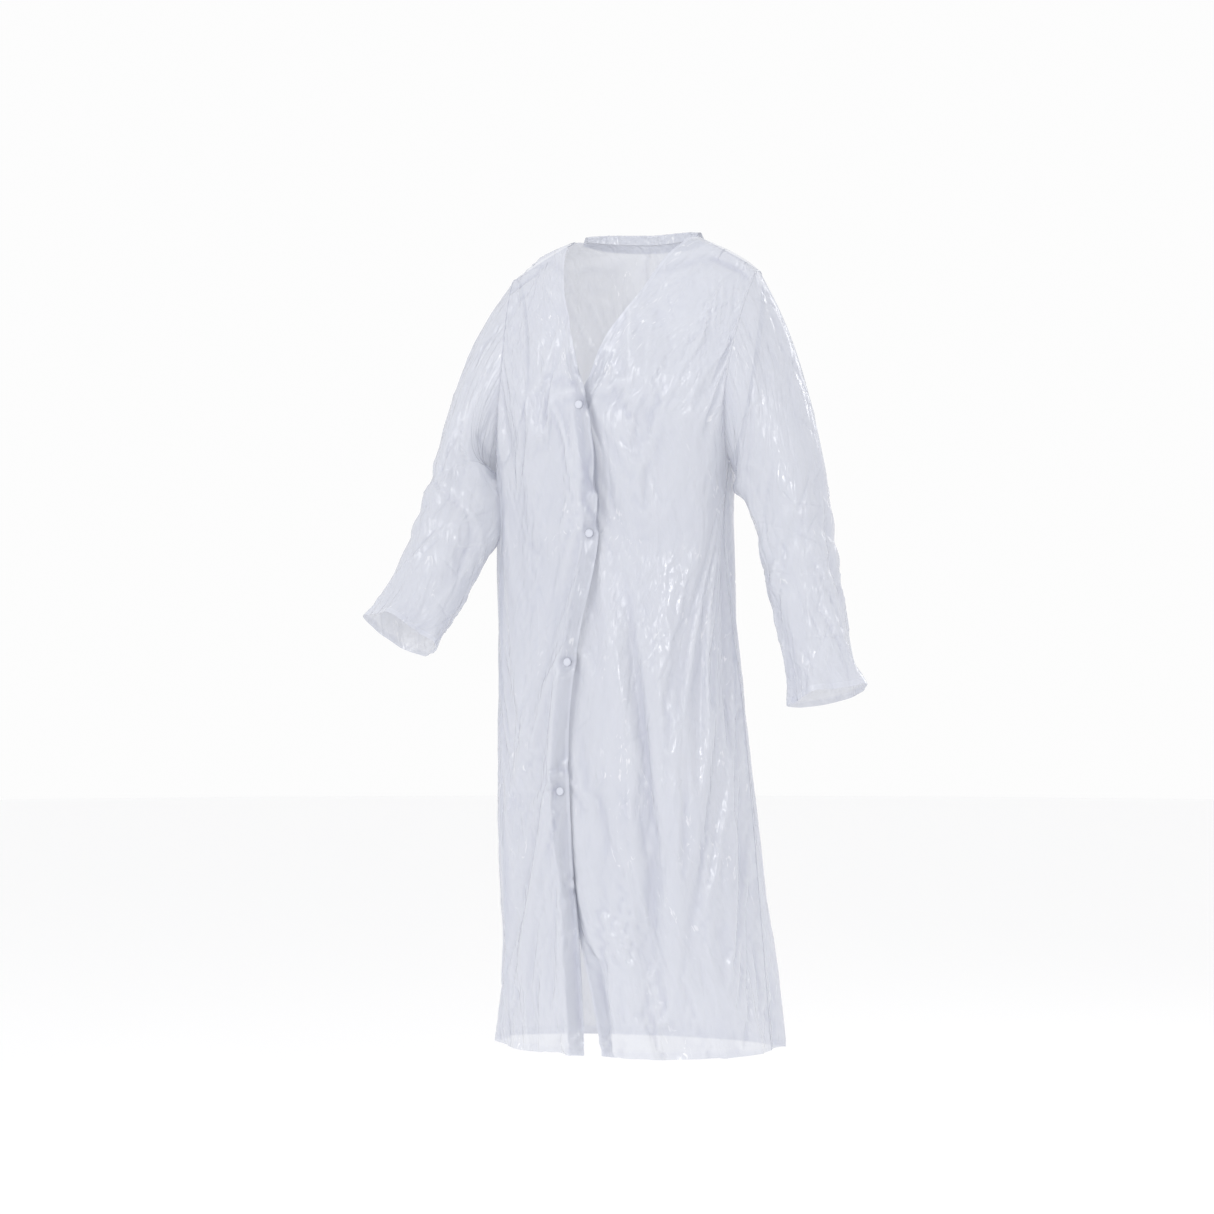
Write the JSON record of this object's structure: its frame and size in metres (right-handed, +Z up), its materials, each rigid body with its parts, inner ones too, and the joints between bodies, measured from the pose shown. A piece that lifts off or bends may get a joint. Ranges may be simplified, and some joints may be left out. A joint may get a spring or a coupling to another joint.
{
  "type": "disposable lab coat",
  "caption": "Knee-length disposable lab coat of thin translucent film, worn shape with open cuffs, V neck and press-stud front.",
  "frame": {"origin": "middle of the neck opening, level with the two neck points of the shoulder seams, where the shoulders carry the coat", "axes": "+Z up, the front of the coat faces -Y, the wearer's left is +X"},
  "size_m": [0.6993, 0.3465, 1.1603],
  "materials": {
    "film": "thin translucent polyethylene film, glossy with fine creases",
    "doubled_film": "two layers of the film folded and sealed together",
    "snap_plastic": "white moulded plastic"
  },
  "bodies": {
    "coat_body": {"back_panel": "film", "collar": "doubled_film", "right_front_panel": "film", "left_front_panel": "film", "right_sleeve_upper": "film", "left_sleeve_upper": "film"},
    "right_front": {"right_front_flap": "film", "right_front_facing": "doubled_film", "snap_cap_1": "snap_plastic", "snap_socket_1": "snap_plastic", "snap_cap_2": "snap_plastic", "snap_socket_2": "snap_plastic", "snap_cap_3": "snap_plastic", "snap_socket_3": "snap_plastic", "snap_cap_4": "snap_plastic", "snap_socket_4": "snap_plastic"},
    "left_front": {"left_front_flap": "film", "left_front_facing": "doubled_film", "snap_stud_1": "snap_plastic", "snap_back_cap_1": "snap_plastic", "snap_stud_2": "snap_plastic", "snap_back_cap_2": "snap_plastic", "snap_stud_3": "snap_plastic", "snap_back_cap_3": "snap_plastic", "snap_stud_4": "snap_plastic", "snap_back_cap_4": "snap_plastic"},
    "right_forearm": {"right_sleeve_lower": "film"},
    "left_forearm": {"left_sleeve_lower": "film"}
  },
  "joints": [
    {"name": "right_front_open", "type": "hinge", "parent": "coat_body", "child": "right_front", "pos_m": [-0.1297, -0.125, -0.331], "axis": [-0.0046, -0.0159, -0.9999], "range_deg": [0, 75]},
    {"name": "left_front_open", "type": "hinge", "parent": "coat_body", "child": "left_front", "pos_m": [0.0755, -0.12, -0.331], "axis": [-0.0244, 0.0488, 0.9985], "range_deg": [0, 30]},
    {"name": "right_sleeve_bend", "type": "hinge", "parent": "coat_body", "child": "right_forearm", "pos_m": [-0.2483, -0.1265, -0.377], "axis": [-1, 0, 0], "range_deg": [0, 50]},
    {"name": "left_sleeve_bend", "type": "hinge", "parent": "coat_body", "child": "left_forearm", "pos_m": [0.2317, -0.066, -0.3763], "axis": [-1, 0, 0], "range_deg": [0, 50]}
  ],
  "couplings": [
    {"joint": "left_front_open", "follows": "right_front_open", "ratio": 0.36}
  ]
}
